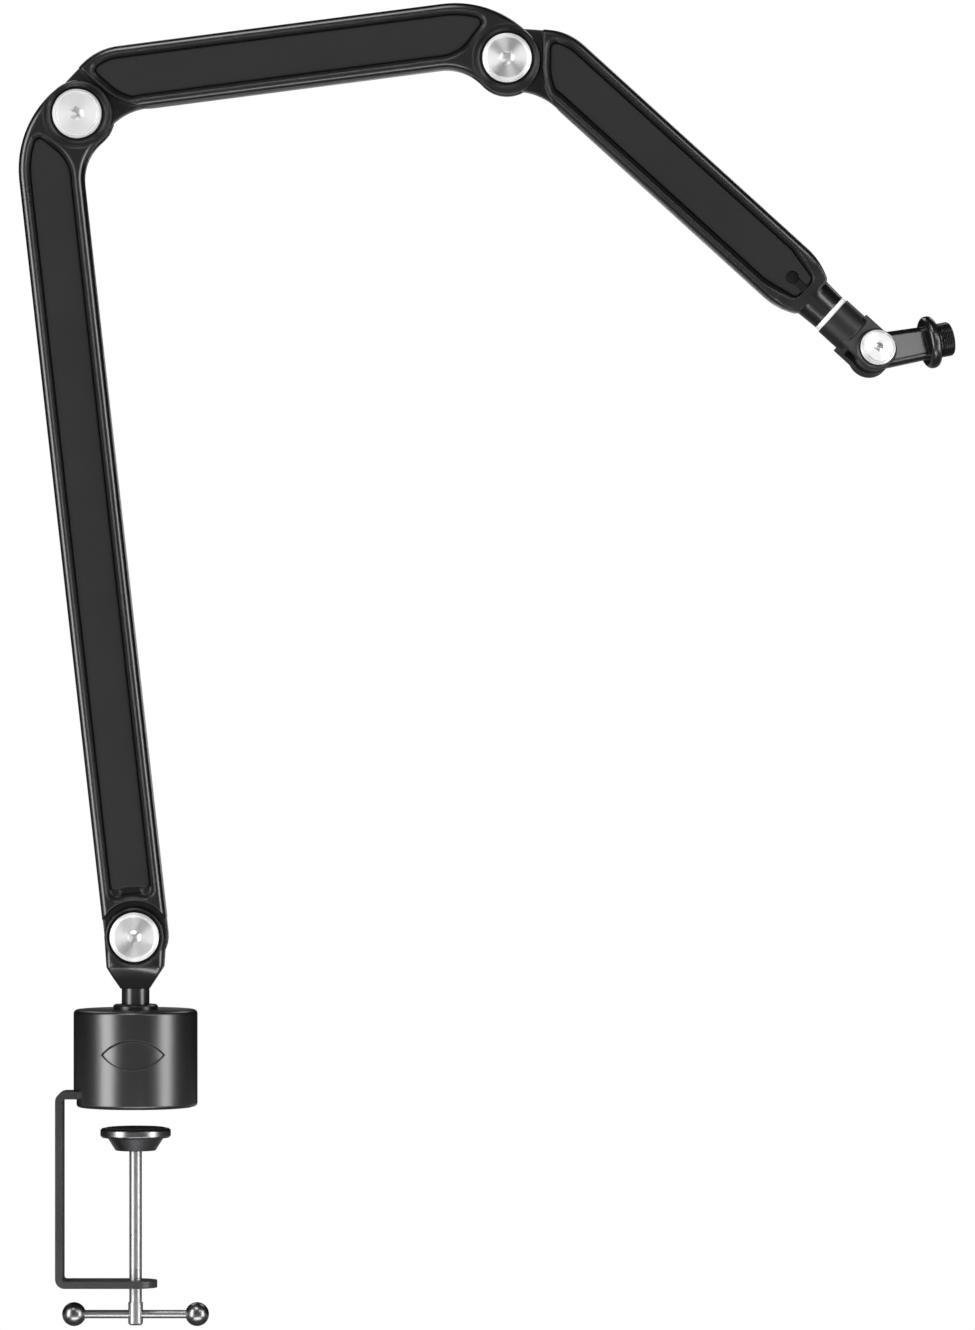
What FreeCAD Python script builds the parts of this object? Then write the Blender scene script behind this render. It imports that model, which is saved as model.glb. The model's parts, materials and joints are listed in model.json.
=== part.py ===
import FreeCAD, Part
import math
import os

# A desk-clamped microphone boom arm: a C-clamp and round base, a swivelling
# knuckle, three arms on friction joints, a turning wrist and a threaded mount.
# Millimetres. Z is up, X points to the microphone, Y points away from the
# side that carries the cable covers. The origin is the middle of the pad
# that rests on the desk.

V = FreeCAD.Vector

# Clearances shared by all pieces
overrun = 2.0
face_clearance = 0.05
running_clearance = 0.05
fixed_clearance = 0.02
cover_clearance = 0.25

# Places of the joints and the pose of the arms, angles in degrees from +X
lower_arm_angle = 96.4
lower_arm_pitch = 378.0
lower_arm_lift = -0.6
lower_arm_drop = 16.0
middle_arm_angle = 7.4
middle_arm_pitch = 198.7
middle_arm_lift = 14.1
upper_arm_angle = -42.3
upper_arm_pitch = 187.8
upper_arm_lift = 13.8
wrist_roll = -17.0
mount_angle = 54.2

# Section that all three arms share
arm_width = 29.1
arm_thickness = 24.0
arm_edge_round = 3.0
rim_width = 5.0
rim_slope = 1.8
cover_depth = 2.4
cover_thickness = 1.6
cover_edge = 1.2
ledge_width = 1.3
back_wall = 3.5
back_panel_depth = 0.9
panel_corner = 3.0
trough_corner = 2.5
corner_angle = 25.0

# Fork and tongue where two arms meet
cheek_radius = 15.6
cheek_offset = 0.7
tongue_radius = 14.5
tongue_thickness = 8.4
step_gap = 0.4
fork_outer_blend = 48.0
fork_inner_fillet = 22.5
tongue_outer_blend = 27.0
tongue_outer_start = 22.0
tongue_inner_fillet = 28.0
step_corner = 28.5
step_flare_angle = 42.3
step_bar = 2.8
panel_cut_gap = 18.5
panel_cut_angle = 135.0
panel_round_share = 0.96
fork_floor = 11.5
trough_start_wall = 8.0
cable_exit_gap = 3.1
cable_exit_width = 10.0
cable_exit_floor = 1.0

# Boss on the fork's front cheek and the pocket for the nut at the back
boss_radius = 13.6
boss_proud = 0.8
boss_edge = 1.1
moat_radius = 15.3
moat_depth = 1.0
cap_recess_radius = 12.4
cap_recess_depth = 3.6
nut_boss_radius = 11.0
nut_pocket_depth = 4.6

# Turned pivot bolt with its wide head, and what it clamps
cap_radius = 11.2
cap_height = 4.6
cap_chamfer = 0.9
cap_groove_radius = 9.4
cap_groove_width = 0.5
cap_groove_depth = 0.3
socket_flats = 6.0
socket_depth = 3.2
drill_point_share = 0.29
bolt_radius = 4.0
bolt_tip = 0.6
spring_washer_radius = 7.5
spring_washer_thickness = 0.7
spring_washer_height = 1.2
friction_washer_radius = 12.5
friction_washer_thickness = 0.8
bush_wall = 1.5
nut_flats = 13.0
nut_thickness = 5.0
nut_chamfer = 0.7

# Round end of the upper arm
neck_radius = 9.2
neck_start_radius = 10.2
neck_start = 170.0
taper_start = 160.5
taper_length = 17.1
taper_half_width = 9.8
taper_half_thickness = 9.4
panel_taper_start = 156.0
panel_end = 174.0
panel_end_share = 0.61
upper_trough_end = 159.5
keyhole_place = 164.3
keyhole_radius = 3.0
keyhole_slot = 4.0

# Wrist that turns on the neck, and the fork at its end
wrist_ring_thickness = 2.2
wrist_bolt_head_gap = 2.4
wrist_bolt_share = 0.64
wrist_socket_share = 0.96
wrist_bolt_head_height = 4.0
wrist_bolt_washer_thickness = 1.2
wrist_bolt_length_past_ring = 8.0
wrist_radius = 9.75
wrist_cylinder_length = 13.8
wrist_edge = 0.8
tilt_pitch = 27.3
tilt_cheek_radius = 9.5
tilt_cheek_front = 7.8
tilt_cheek_back = 10.6
tang_thickness = 7.4
tang_end_radius = 8.5
tang_gap = 0.9
tilt_washer_thickness = 0.6
tilt_washer_radius = 7.6
tilt_cap_radius = 8.1
tilt_cap_height = 2.6
tilt_cap_groove_radius = 6.9
tilt_bolt_radius = 3.0
tilt_socket_flats = 4.0
tilt_socket_depth = 1.8
tilt_spring_radius = 6.5
tilt_spring_thickness = 0.5
tilt_spring_height = 0.8
tilt_nut_flats = 10.0
tilt_nut_thickness = 4.0
tilt_nut_pocket = 3.6

# Microphone mount: tang, flange, stud and the adapter screwed on the stud
tang_root_height = 17.0
tang_height = 15.2
tang_length = 25.1
tang_edge = 3.0
flange_radius = 12.1
flange_thickness = 5.2
flange_round = 2.3
collar_radius = 9.0
collar_length = 0.6
stud_radius = 4.7
adapter_radius = 7.9375
adapter_length = 6.8
adapter_relief_radius = 7.1
adapter_relief_length = 1.0
adapter_chamfer = 0.6

# Round base, open below
housing_radius = 28.5
housing_height = 44.8
housing_edge = 1.9
housing_foot_edge = 1.6
housing_wall = 3.0
housing_top = 4.0
housing_lift = 0.3
bearing_boss_radius = 13.0
bearing_boss_bottom = 20.0
post_radius = 4.0
post_inset = 5.5
post_angles = (65.0, 115.0, 245.0, 295.0)
badge_width = 28.5
badge_height = 13.2
badge_depth = 1.0
badge_slope = 0.8
badge_place = 24.6
desk_pad_margin = 2.4
desk_pad_thickness = 3.9
plate_gap = 0.2
plate_thickness = 3.0
plate_screw_radius = 1.6
plate_screw_length = 9.0
plate_screw_head_radius = 3.2
plate_screw_head_height = 2.2

# Swivel on top of the base
bush_flange_radius = 10.3
bush_flange_height = 2.4
bush_flange_edge = 0.8
bush_sleeve_radius = 8.5
neck_spindle_radius = 6.4
spindle_journal_radius = 5.5
spindle_thread_radius = 5.0
spindle_spigot_radius = 4.5
spindle_neck_length = 7.4
spigot_roof = 1.15
spindle_gap = 0.8
spindle_washer_radius = 11.0
spindle_washer_thickness = 1.5
lock_nut_flats = 17.0
lock_nut_thickness = 6.0
shoulder_rise = 23.85
knuckle_waist_rise = 9.7
knuckle_cheek_radius = 13.9
knuckle_waist_half = 12.9
knuckle_foot_half = 6.6
knuckle_edge = 2.4

# C-clamp bracket, a bent steel strip
strip_width = 20.0
strip_thickness = 3.3
strip_bend = 4.4
bracket_left = -36.5
bracket_inner_end = 15.0
bracket_bottom = -83.0
bracket_end_radius = 10.0
bracket_screw_radius = 2.4
bracket_screw_head_radius = 4.4
bracket_screw_places = (-10.0, 9.0)

# Clamp screw with its pressure pad and sliding bar
pad_top = -9.5
pad_radius = 16.2
pad_rim = 4.6
pad_rim_edge = 0.8
pad_cone_top_radius = 13.0
pad_cone_bottom_radius = 9.3
pad_cone_height = 5.9
pad_facing_radius = 13.5
pad_facing_thickness = 1.4
pad_facing_proud = 0.4
pad_cavity_radius = 5.0
pad_cavity_depth = 2.4
screw_radius = 2.9
screw_bottom = -100.4
screw_tip_radius = 2.2
screw_groove_radius = 1.7
screw_head_radius = 3.4
screw_head_length = 10.4
screw_tip_round = 0.8
clip_radius = 4.2
clip_thickness = 0.8
clip_play = 0.3
bar_place = -95.4
bar_radius = 1.95
ball_radius = 5.5
ball_span = 56.6
ball_flat_radius = 2.4

# Values that follow from the sizes above
half_width = arm_width / 2
beyond = arm_width * 2
half_thickness = arm_thickness / 2
tongue_half = tongue_thickness / 2
cheek_inside = tongue_half + face_clearance + friction_washer_thickness
step_radius = cheek_radius + cheek_offset + step_gap
cover_front = -half_thickness + cover_depth
cover_back = cover_front + cover_thickness
trough_back = half_thickness - back_wall
boss_front = half_thickness + boss_proud
cap_seat = boss_front - cap_recess_depth
nut_seat = boss_front - nut_pocket_depth
panel_width = arm_width - 2 * rim_width
panel_wide_round = panel_width * panel_round_share
panel_end_width = panel_width * panel_end_share
trough_half = half_width - rim_width - ledge_width
wrist_bolt_head_radius = trough_half - wrist_bolt_head_gap
wrist_bolt_radius = wrist_bolt_head_radius * wrist_bolt_share
flange_top = housing_height + bush_flange_height
knuckle_bottom = flange_top + spindle_neck_length
knuckle_waist = knuckle_bottom + knuckle_waist_rise
shoulder_height = knuckle_bottom + shoulder_rise
spigot_top = shoulder_height - step_radius - spigot_roof
origin = V(0, 0, 0)
y_axis = V(0, 1, 0)


def polar(centre, radius, angle):
    """Point of the XZ plane at an angle in degrees about a centre."""
    turn = math.radians(angle)
    return V(centre.x + radius * math.cos(turn), 0, centre.z + radius * math.sin(turn))


def angle_of(vector):
    """Angle in degrees of a vector in the XZ plane."""
    return math.degrees(math.atan2(vector.z, vector.x))


def arc(centre, radius, start, end):
    """Arc edge in the XZ plane from one angle to another."""
    middle = polar(centre, radius, (start + end) / 2)
    return Part.Arc(polar(centre, radius, start), middle, polar(centre, radius, end)).toShape()


def line(start, end):
    return Part.LineSegment(start, end).toShape()


def plate(edges, front, back):
    """Solid from a closed outline in the XZ plane, between two depths in Y."""
    solid = Part.Face(Part.Wire(edges)).extrude(V(0, back - front, 0))
    solid.translate(V(0, front, 0))
    return solid


def block(x_low, x_high, y_low, y_high, z_low, z_high):
    corner = V(x_low, y_low, z_low)
    return Part.makeBox(x_high - x_low, y_high - y_low, z_high - z_low, corner)


def rod(radius, start, end):
    """Cylinder between two points."""
    along = end - start
    return Part.makeCylinder(radius, along.Length, start, along)


def crosswise(radius, centre, front, back):
    """Cylinder along Y, between two depths."""
    return Part.makeCylinder(radius, back - front, V(centre.x, front, centre.z), y_axis)


def turned(profile):
    """Solid of revolution about Z from points of radius and height."""
    points = [V(radius, 0, height) for radius, height in profile]
    face = Part.Face(Part.makePolygon(points + points[:1]))
    return face.revolve(origin, V(0, 0, 1), 360)


def hexagon(flats, low, high):
    """Hexagonal prism about Z."""
    radius = flats / math.sqrt(3)
    points = [
        V(radius * math.cos(math.radians(60 * k)), radius * math.sin(math.radians(60 * k)), low)
        for k in range(7)
    ]
    return Part.Face(Part.makePolygon(points)).extrude(V(0, 0, high - low))


def nut(flats, low, high, bore, chamfer):
    """Hexagon nut about Z with turned corners."""
    corner = flats / math.sqrt(3)
    rim = turned([
        (bore, low), (corner - chamfer, low), (corner, low + chamfer),
        (corner, high - chamfer), (corner - chamfer, high), (bore, high),
    ])
    return hexagon(flats, low, high).common(rim)


def fronted(shape, centre):
    """Turn a shape made along Z to point out of the front at a pivot."""
    moved = shape.copy()
    turn = FreeCAD.Rotation(V(0, 0, 1), V(0, -1, 0))
    moved.Placement = FreeCAD.Placement(centre, turn).multiply(moved.Placement)
    return moved


def rounded(solid, radius, wanted):
    """Round the edges that a test picks."""
    return solid.makeFillet(radius, [edge for edge in solid.Edges if wanted(edge)])


def largest(shape):
    return max(shape.Solids, key=lambda solid: solid.Volume)


def lies_at_depth(edge, depth):
    return all(abs(abs(vertex.Y) - depth) < face_clearance for vertex in edge.Vertexes)


def runs_across(edge):
    """True for a straight edge along Y."""
    ends = [vertex.Point for vertex in edge.Vertexes]
    return len(ends) == 2 and abs((ends[1] - ends[0]).normalize().y) > math.cos(math.radians(1))


def is_corner(edge, solid):
    """True for an edge along Y where two walls meet at an angle."""
    if not runs_across(edge):
        return False
    faces = [face for face in solid.Faces if any(edge.isSame(other) for other in face.Edges)]
    middle = edge.CenterOfMass
    normals = [face.normalAt(*face.Surface.parameter(middle)) for face in faces]
    return normals[0].getAngle(normals[1]) > math.radians(corner_angle)


def is_rim(edge, radius):
    """True for a level circle of a radius about Z."""
    box = edge.BoundBox
    return abs(box.XMax - radius) < fixed_clearance and box.ZLength < fixed_clearance


def fork_end(pivot, outer, inner):
    """Outline round a fork's tip, from the arm's outer edge to its inner edge."""
    tip = pivot - V(0, 0, cheek_offset)
    outer_low = outer - fork_outer_blend
    outer_reach = math.sqrt((fork_outer_blend - cheek_radius) ** 2 - (outer_low - tip.z) ** 2)
    outer_centre = V(tip.x - outer_reach, 0, outer_low)
    inner_low = inner - fork_inner_fillet
    inner_reach = math.sqrt((fork_inner_fillet + cheek_radius) ** 2 - (inner_low - tip.z) ** 2)
    inner_centre = V(tip.x - inner_reach, 0, inner_low)
    outer_angle = angle_of(tip - outer_centre)
    inner_angle = angle_of(inner_centre - tip)
    return [
        arc(outer_centre, fork_outer_blend, 90, outer_angle),
        arc(tip, cheek_radius, outer_angle, inner_angle),
        arc(inner_centre, fork_inner_fillet, inner_angle + 180, 90),
    ]


def tongue_end(outer, inner):
    """Outline round a tongue at the origin, from the inner edge to the outer edge."""
    outer_centre = V(tongue_outer_start, 0, outer - tongue_outer_blend)
    lean = math.acos((tongue_radius - tongue_outer_blend) / outer_centre.Length)
    outer_angle = angle_of(outer_centre) + math.degrees(lean)
    inner_low = inner - tongue_inner_fillet
    inner_reach = math.sqrt((tongue_inner_fillet + tongue_radius) ** 2 - inner_low ** 2)
    inner_centre = V(inner_reach, 0, inner_low)
    inner_angle = angle_of(inner_centre)
    tangent_start = polar(origin, tongue_radius, outer_angle)
    tangent_end = polar(outer_centre, tongue_outer_blend, outer_angle)
    return [
        arc(inner_centre, tongue_inner_fillet, 90, inner_angle + 180),
        arc(origin, tongue_radius, inner_angle, outer_angle - 360),
        line(tangent_start, tangent_end),
        arc(outer_centre, tongue_outer_blend, outer_angle, 90),
    ]


def straight_end(lift):
    """Half round end of an arm that is centred near its pivot."""
    return [arc(V(0, 0, lift), half_width, -90, -270)]


def neck_end(lift):
    """Outline of the shoulders that lead to a round neck."""
    drop = half_width - taper_half_width
    sweep = (taper_length ** 2 + drop ** 2) / (2 * drop)
    turn = math.degrees(math.asin(taper_length / sweep))
    upper = V(taper_start, 0, lift + half_width - sweep)
    lower = V(taper_start, 0, lift - half_width + sweep)
    return [
        arc(upper, sweep, 90, 90 - turn),
        line(polar(upper, sweep, 90 - turn), polar(lower, sweep, turn - 90)),
        arc(lower, sweep, turn - 90, -90),
    ]


def arm_outline(near, far):
    """Closed outline of an arm from the edges of its two ends."""
    outer = line(near[-1].Vertexes[-1].Point, far[0].Vertexes[0].Point)
    inner = line(far[-1].Vertexes[-1].Point, near[0].Vertexes[0].Point)
    return [outer] + far + [inner] + near


def step_tool(lift, reach, front, back):
    """Room for the other arm's cheek round a tongue's pivot, widened by a reach."""
    radius = step_radius + reach
    inner = lift - half_width
    room = crosswise(radius, origin, front, back)
    flare = block(-arm_width, radius, front, back, 0, arm_width)
    flare.rotate(origin, y_axis, -step_flare_angle)
    corner_height = inner + step_corner
    corner_place = math.sqrt((step_radius + step_corner) ** 2 - corner_height ** 2)
    corner = V(corner_place, 0, corner_height)
    touch = polar(origin, radius, angle_of(corner))
    foot = block(-arm_width, corner_place, front, back, inner - arm_width, touch.z)
    foot = foot.cut(crosswise(step_corner - reach, corner, front - overrun, back + overrun))
    return room.fuse([flare, foot])


def round_tool(pivot, radius, front, back):
    return crosswise(radius, pivot, front, back)


def panel(outline, inset, near_tool, far_tool, wide_round, corner, front, back):
    """Sunk panel of an arm: its outline drawn in, cut clear of both ends."""
    wire = Part.Wire(outline).makeOffset2D(-inset)
    solid = plate(wire.Edges, front, back)
    for tool in (near_tool, far_tool):
        solid = largest(solid.cut(tool(front - overrun, back + overrun)))
    if wide_round:
        corners = [edge for edge in solid.Edges if is_corner(edge, solid)]
        middle = solid.CenterOfMass
        far_inner = [e for e in corners if e.CenterOfMass.x > middle.x and e.CenterOfMass.z < middle.z]
        solid = solid.makeFillet(wide_round, far_inner)
    return rounded(solid, corner, lambda edge: is_corner(edge, solid))


def fork(solid, pivot):
    """Bosses, slot, bores and pockets of the fork at an arm's far pivot."""
    front_boss = turned([
        (0, cap_seat), (boss_radius, cap_seat), (boss_radius, boss_front - boss_edge),
        (boss_radius - boss_edge, boss_front), (0, boss_front),
    ])
    back_boss = turned([
        (0, -nut_seat), (nut_boss_radius, -nut_seat), (nut_boss_radius, boss_edge - boss_front),
        (nut_boss_radius - boss_edge, -boss_front), (0, -boss_front),
    ])
    solid = solid.fuse([fronted(front_boss, pivot), fronted(back_boss, pivot)])
    cap_recess = turned([
        (0, cap_seat), (cap_recess_radius, cap_seat),
        (cap_recess_radius, boss_front + overrun), (0, boss_front + overrun),
    ])
    pocket = hexagon(nut_flats + 2 * fixed_clearance, -boss_front - overrun, -nut_seat)
    bore = crosswise(bolt_radius + running_clearance, pivot, -boss_front, boss_front)
    slot = block(
        pivot.x - step_radius, pivot.x + cheek_radius + overrun, -cheek_inside, cheek_inside,
        pivot.z - beyond, pivot.z + beyond,
    )
    return solid.cut([fronted(cap_recess, pivot), fronted(pocket, pivot), bore, slot])


def sunk_ring(solid, pivot):
    """Round sinking that sets a fork's front boss off from the arm."""
    floor = moat_depth - half_thickness
    return solid.cut(crosswise(moat_radius, pivot, floor - moat_depth - overrun, floor))


def arm_body(outline):
    """Arm of full thickness with its long edges rounded."""
    solid = plate(outline, -half_thickness, half_thickness)
    return rounded(solid, arm_edge_round, lambda edge: lies_at_depth(edge, half_thickness))


def tongue(solid, near_tool):
    """Thin an arm down to its tongue and bore it for the bush."""
    past = half_thickness + overrun
    for front, back in ((-past, -tongue_half), (tongue_half, past)):
        solid = solid.cut(near_tool(0, front, back))
    bore = crosswise(bolt_radius + running_clearance + bush_wall, origin, -past, past)
    return largest(solid.cut(bore))


def flared(seat):
    """Panel seat with a mouth that slopes out to the arm's front face."""
    box = seat.BoundBox
    front = block(
        box.XMin - beyond, box.XMax + beyond, box.YMin, -half_thickness,
        box.ZMin - beyond, box.ZMax + beyond,
    )
    mouth = front.fuse(seat)
    edges = [
        edge for edge in mouth.Edges
        if lies_at_depth(edge, half_thickness) and box.isInside(edge.CenterOfMass)
    ]
    return mouth.makeChamfer(rim_slope, edges)


def hollow(solid, outline, near_tool, far_tool, wide_round, trough_start, trough_end):
    """Cut the panel seat, the cable trough and the shallow back panel."""
    past = half_thickness + overrun
    seat, back_panel = [
        panel(
            outline, rim_width, lambda a, b: near_tool(step_bar, a, b),
            lambda a, b: far_tool(0, a, b), wide_round, panel_corner, front, back,
        )
        for front, back in ((-past, cover_back), (half_thickness - back_panel_depth, past))
    ]
    wire = Part.Wire(outline).makeOffset2D(-rim_width - ledge_width)
    trough = plate(wire.Edges, cover_back - overrun, trough_back)
    box = trough.BoundBox
    span = block(trough_start, trough_end, box.YMin, box.YMax, box.ZMin, box.ZMax)
    trough = trough.common(span)
    trough = rounded(trough, trough_corner, lambda edge: is_corner(edge, trough))
    return solid.cut([flared(seat), back_panel, trough])


def exit_slot(start, end, lift):
    """Shallow way out of a trough for the cable."""
    half = cable_exit_width / 2
    floor = -tongue_half - cable_exit_floor
    return block(start, end, cover_back - overrun, floor, lift - half, lift + half)


def cover(outline, near_tool, near_gap, far_tool, wide_round):
    """Cable cover that drops into the panel seat, with its front edge rounded."""
    solid = panel(
        outline, rim_width + cover_clearance,
        lambda a, b: near_tool(step_bar + near_gap, a, b),
        lambda a, b: far_tool(cover_clearance, a, b), wide_round,
        panel_corner - cover_clearance, cover_front, cover_back,
    )
    return rounded(solid, cover_edge, lambda edge: lies_at_depth(edge, -cover_front))


def panel_tip(pivot):
    """Tool that ends a panel in a slanting cut beside the boss of a fork."""

    def tool(reach, front, back):
        cut = block(-beyond, panel_cut_gap + reach, front, back, -beyond, beyond)
        cut.rotate(origin, y_axis, -panel_cut_angle)
        cut.translate(pivot)
        return cut

    return tool


def capped_bolt(radius, height, chamfer, groove, shank, seat, end, flats, depth):
    """Turned bolt about Z with a wide grooved head above its seat and a hexagon socket."""
    top = seat + height
    half_groove = cap_groove_width / 2
    body = turned([
        (0, end), (shank - bolt_tip, end), (shank, end + bolt_tip), (shank, seat), (radius, seat),
        (radius, top - chamfer), (radius - chamfer, top), (groove + half_groove, top),
        (groove, top - cap_groove_depth), (groove - half_groove, top), (0, top),
    ])
    floor = top - depth
    drill_point = turned([(0, floor - flats * drill_point_share), (flats / 2, floor), (0, floor)])
    return body.cut([hexagon(flats, floor, top + overrun), drill_point])


def coned_washer(inner, outer, thickness, height, seat):
    """Coned spring washer about Z that stands on its outer edge."""
    return turned([
        (inner, seat + height - thickness), (outer, seat),
        (outer, seat + thickness), (inner, seat + height),
    ])


def ring(inner, outer, low, high):
    return turned([(inner, low), (outer, low), (outer, high), (inner, high)])


def pivot_set(name, pivot, place):
    """Bolt, spring washer, friction washers, bush and nut of one arm joint."""
    bore = bolt_radius + running_clearance
    seat = cap_seat + spring_washer_height
    bolt = capped_bolt(
        cap_radius, cap_height, cap_chamfer, cap_groove_radius, bolt_radius, seat,
        -nut_seat - nut_thickness, socket_flats, socket_depth,
    )
    spring = coned_washer(
        bore, spring_washer_radius, spring_washer_thickness, spring_washer_height, cap_seat,
    )
    inside = cheek_inside - friction_washer_thickness
    discs = Part.makeCompound([
        ring(bore, friction_washer_radius, inside, cheek_inside),
        ring(bore, friction_washer_radius, -cheek_inside, -inside),
    ])
    bush = ring(bore, bore + bush_wall - fixed_clearance, -tongue_half, tongue_half)
    hex_nut = nut(
        nut_flats, -nut_seat - nut_thickness, -nut_seat, bolt_radius + fixed_clearance, nut_chamfer,
    )
    keep(name + "_bolt", fronted(bolt, pivot), place)
    keep(name + "_spring_washer", fronted(spring, pivot), place)
    keep(name + "_friction_washers", fronted(discs, pivot), place)
    keep(name + "_bush", fronted(bush, pivot), place)
    keep(name + "_nut", fronted(hex_nut, pivot), place)


def keep(name, shape, place=FreeCAD.Placement()):
    """Put a piece in its place and write it under its name."""
    moved = shape.copy()
    moved.Placement = place.multiply(moved.Placement)
    moved.exportStep("parts/" + name + ".step")
    print(name, len(moved.Solids), round(moved.Volume), moved.isValid())


def turned_place(position, axis, angle):
    return FreeCAD.Placement(position, FreeCAD.Rotation(axis, angle))


os.makedirs("parts", exist_ok=True)

# Places of the bodies at rest
shoulder = V(0, 0, shoulder_height)
lower_place = turned_place(shoulder, y_axis, -lower_arm_angle)
lower_far = V(lower_arm_pitch, 0, -lower_arm_drop)
lower_elbow = lower_place.multVec(lower_far)
middle_place = turned_place(lower_elbow, y_axis, -middle_arm_angle)
middle_far = V(middle_arm_pitch, 0, 0)
upper_elbow = middle_place.multVec(middle_far)
upper_place = turned_place(upper_elbow, y_axis, -upper_arm_angle)
ring_end = V(upper_arm_pitch, 0, upper_arm_lift)
wrist_place = upper_place.multiply(turned_place(ring_end, V(1, 0, 0), wrist_roll))
tilt_pivot = V(tilt_pitch, 0, 0)
mount_place = wrist_place.multiply(turned_place(tilt_pivot, y_axis, -mount_angle))

# Lower arm: centred on the shoulder, with its fork set to the inner side
lower_outline = arm_outline(
    straight_end(lower_arm_lift),
    fork_end(lower_far, lower_arm_lift + half_width, lower_arm_lift - half_width),
)


def lower_near(reach, front, back):
    return round_tool(origin, step_radius + reach, front, back)


lower_frame = arm_body(lower_outline)
lower_trough_start = step_radius + trough_start_wall
lower_frame = hollow(
    lower_frame, lower_outline, lower_near, panel_tip(lower_far), panel_wide_round,
    lower_trough_start, lower_far.x - step_radius - fork_floor,
)
lower_exit = exit_slot(step_radius + step_bar, lower_trough_start + overrun, lower_arm_lift)
lower_frame = sunk_ring(lower_frame.cut(lower_exit), lower_far)
keep("lower_arm_frame", fork(tongue(lower_frame, lower_near), lower_far), lower_place)
lower_cover = cover(
    lower_outline, lower_near, cable_exit_gap, panel_tip(lower_far), panel_wide_round - cover_clearance,
)
keep("lower_arm_cover", lower_cover, lower_place)

# Middle arm: both pivots on its inner side
middle_outline = arm_outline(
    tongue_end(middle_arm_lift + half_width, middle_arm_lift - half_width),
    fork_end(middle_far, middle_arm_lift + half_width, middle_arm_lift - half_width),
)


def middle_near(reach, front, back):
    return step_tool(middle_arm_lift, reach, front, back)


middle_frame = hollow(
    arm_body(middle_outline), middle_outline, middle_near, panel_tip(middle_far), panel_wide_round,
    step_radius + trough_start_wall, middle_far.x - step_radius - fork_floor,
)
middle_frame = sunk_ring(middle_frame, middle_far)
keep("middle_arm_frame", fork(tongue(middle_frame, middle_near), middle_far), middle_place)
middle_cover = cover(
    middle_outline, middle_near, cover_clearance, panel_tip(middle_far),
    panel_wide_round - cover_clearance,
)
keep("middle_arm_cover", middle_cover, middle_place)

# Upper arm: tongue at the elbow, tapered to a round neck
upper_outline = arm_outline(
    tongue_end(upper_arm_lift + half_width, upper_arm_lift - half_width), neck_end(upper_arm_lift),
)


def upper_near(reach, front, back):
    return step_tool(upper_arm_lift, reach, front, back)


def upper_far(reach, front, back):
    """Ends the upper arm's panel in a taper."""
    half = panel_end_width / 2 - reach
    wide = half_width - rim_width
    end = panel_end - reach
    past = panel_end + arm_width
    sides = []
    for side in (-1, 1):
        points = [
            V(panel_taper_start, 0, upper_arm_lift + side * (wide - reach)),
            V(end, 0, upper_arm_lift + side * half),
            V(end, 0, upper_arm_lift + side * arm_width),
            V(panel_taper_start, 0, upper_arm_lift + side * arm_width),
        ]
        sides.append(plate(Part.makePolygon(points + points[:1]).Edges, front, back))
    stop = block(end, past, front, back, upper_arm_lift - arm_width, upper_arm_lift + arm_width)
    return stop.fuse(sides)


def side_taper():
    """Profile that thins the upper arm's end to the neck, seen along Z."""
    drop = half_thickness - taper_half_thickness
    sweep = (taper_length ** 2 + drop ** 2) / (2 * drop)
    end = taper_start + taper_length
    middle_turn = math.asin(taper_length / sweep) / 2
    middle_x = taper_start + sweep * math.sin(middle_turn)
    middle_y = half_thickness - sweep + sweep * math.cos(middle_turn)
    back = -arm_width
    edges = [
        line(V(back, -half_thickness, 0), V(taper_start, -half_thickness, 0)),
        Part.Arc(
            V(taper_start, -half_thickness, 0), V(middle_x, -middle_y, 0),
            V(end, -taper_half_thickness, 0),
        ).toShape(),
        line(V(end, -taper_half_thickness, 0), V(end, taper_half_thickness, 0)),
        Part.Arc(
            V(end, taper_half_thickness, 0), V(middle_x, middle_y, 0),
            V(taper_start, half_thickness, 0),
        ).toShape(),
        line(V(taper_start, half_thickness, 0), V(back, half_thickness, 0)),
        line(V(back, half_thickness, 0), V(back, -half_thickness, 0)),
    ]
    solid = Part.Face(Part.Wire(edges)).extrude(V(0, 0, beyond * 2))
    solid.translate(V(0, 0, upper_arm_lift - beyond))
    return solid


upper_frame = arm_body(upper_outline).common(side_taper())
neck_base = V(neck_start, 0, upper_arm_lift)
neck = Part.makeCone(
    neck_start_radius, neck_radius, upper_arm_pitch - neck_start, neck_base, V(1, 0, 0),
)
upper_frame = hollow(
    upper_frame.fuse(neck), upper_outline, upper_near, upper_far, 0,
    step_radius + trough_start_wall, upper_trough_end,
)
wrist_bore = rod(
    wrist_bolt_radius + running_clearance, V(upper_trough_end - overrun, 0, upper_arm_lift),
    V(upper_arm_pitch + overrun, 0, upper_arm_lift),
)
upper_exit = exit_slot(upper_trough_end - overrun, keyhole_place + keyhole_radius, upper_arm_lift)
keep("upper_arm_frame", tongue(upper_frame.cut([wrist_bore, upper_exit]), upper_near), upper_place)

keyhole_centre = V(keyhole_place, 0, upper_arm_lift)
keyhole = crosswise(keyhole_radius, keyhole_centre, cover_front - overrun, cover_back + overrun)
keyhole_neck = block(
    keyhole_place, panel_end + overrun, cover_front - overrun, cover_back + overrun,
    upper_arm_lift - keyhole_slot / 2, upper_arm_lift + keyhole_slot / 2,
)
upper_cover = cover(upper_outline, upper_near, cover_clearance, upper_far, 0)
keep("upper_arm_cover", upper_cover.cut([keyhole, keyhole_neck]), upper_place)

# Joint hardware of the shoulder and the two elbows
upright = turned_place(shoulder, y_axis, -90)
pivot_set("shoulder", origin, upright)
pivot_set("lower_elbow", lower_far, lower_place)
pivot_set("upper_elbow", middle_far, middle_place)


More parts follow.
